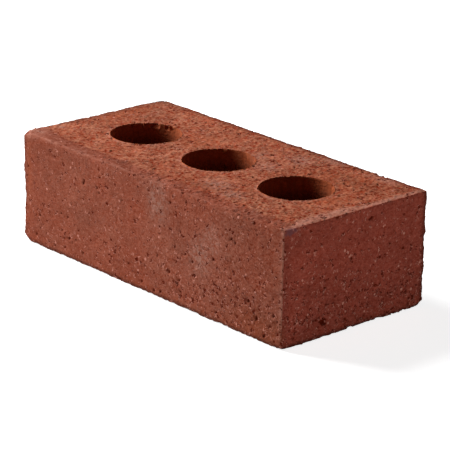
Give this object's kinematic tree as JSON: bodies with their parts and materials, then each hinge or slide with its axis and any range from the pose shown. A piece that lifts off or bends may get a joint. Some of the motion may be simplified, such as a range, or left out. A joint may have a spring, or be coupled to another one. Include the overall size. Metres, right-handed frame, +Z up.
{
  "type": "perforated clay brick",
  "caption": "Rectangular fired clay building brick with round cores running from bed to bed, laid flat on its lower bed face.",
  "frame": {"origin": "middle of the lower bed face, on the floor that the brick lies on", "axes": "+X along the length, from one header to the other; +Y across the width, from the shown stretcher face to the one behind it; +Z up through the height, along the cores"},
  "size_m": [0.215, 0.1024, 0.065],
  "materials": {
    "fired_clay": "matt, unglazed, red-brown fired clay with fine pits, wire-cut bed faces"
  },
  "bodies": {
    "root": {"brick": "fired_clay"}
  },
  "joints": []
}
